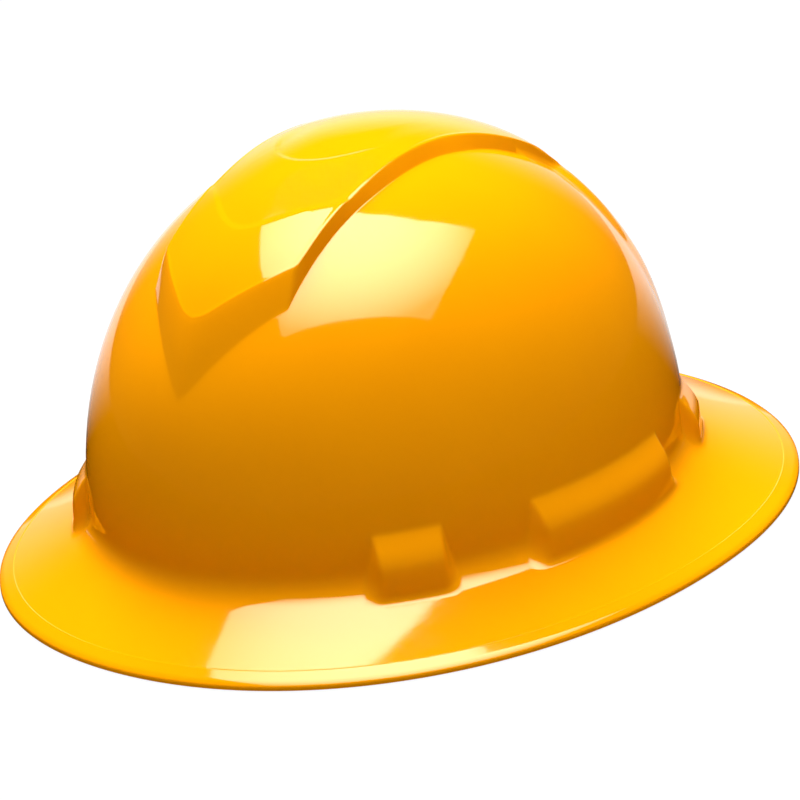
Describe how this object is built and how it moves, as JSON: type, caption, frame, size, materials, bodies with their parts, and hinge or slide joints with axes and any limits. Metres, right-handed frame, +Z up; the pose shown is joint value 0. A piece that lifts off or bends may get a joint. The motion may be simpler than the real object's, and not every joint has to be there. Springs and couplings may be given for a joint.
{
  "type": "hard_hat",
  "caption": "Full brim hard hat with a raised crown panel, side bosses and a webbing suspension whose headband a rear ratchet knob tightens.",
  "frame": {"origin": "bottom centre of the hat's box: the rim's underside is on Z = 0, X and Y at the middle of the brim", "axes": "+Z up; -Y is the front, where the brim is longest; +X is the wearer's left side"},
  "size_m": [0.28, 0.317, 0.1474],
  "materials": {
    "shell_plastic": "high gloss moulded",
    "hanger_plastic": "moulded, fine grain",
    "band_plastic": "moulded, fine grain",
    "knob_plastic": "moulded, satin",
    "webbing": "woven",
    "pad_cloth": "soft napped cloth",
    "screw_steel": "zinc plated",
    "spring_steel": "bright"
  },
  "bodies": {
    "hat": {"shell": "shell_plastic", "key_front_left": "hanger_plastic", "key_front_right": "hanger_plastic", "key_rear_left": "hanger_plastic", "key_rear_right": "hanger_plastic", "strap_from_front_left": "webbing", "strap_from_front_right": "webbing", "headband": "band_plastic", "brow_pad": "pad_cloth", "nape_pad": "pad_cloth", "ratchet_housing": "band_plastic", "ratchet_back_plate": "band_plastic", "housing_screws": "screw_steel"},
    "knob": {"ratchet_knob": "knob_plastic", "pinion": "band_plastic", "click_spring": "spring_steel", "axle_screw": "screw_steel"},
    "left_rack": {"rack_left": "band_plastic"},
    "right_rack": {"rack_right": "band_plastic"}
  },
  "joints": [
    {"name": "knob_turn", "type": "hinge", "parent": "hat", "child": "knob", "pos_m": [0, 0.095, 0.0205], "axis": [0, 1, 0], "range_deg": [-260, 260]},
    {"name": "left_rack_slide", "type": "hinge", "parent": "hat", "child": "left_rack", "pos_m": [0, 0.007, 0.0205], "axis": [0, 0, 1], "range_deg": [-19.6, 19.6]},
    {"name": "right_rack_slide", "type": "hinge", "parent": "hat", "child": "right_rack", "pos_m": [0, 0.007, 0.0205], "axis": [0, 0, 1], "range_deg": [-19.2, 19.2]}
  ],
  "couplings": [
    {"joint": "left_rack_slide", "follows": "knob_turn", "ratio": 0.074953},
    {"joint": "right_rack_slide", "follows": "knob_turn", "ratio": -0.073305}
  ]
}
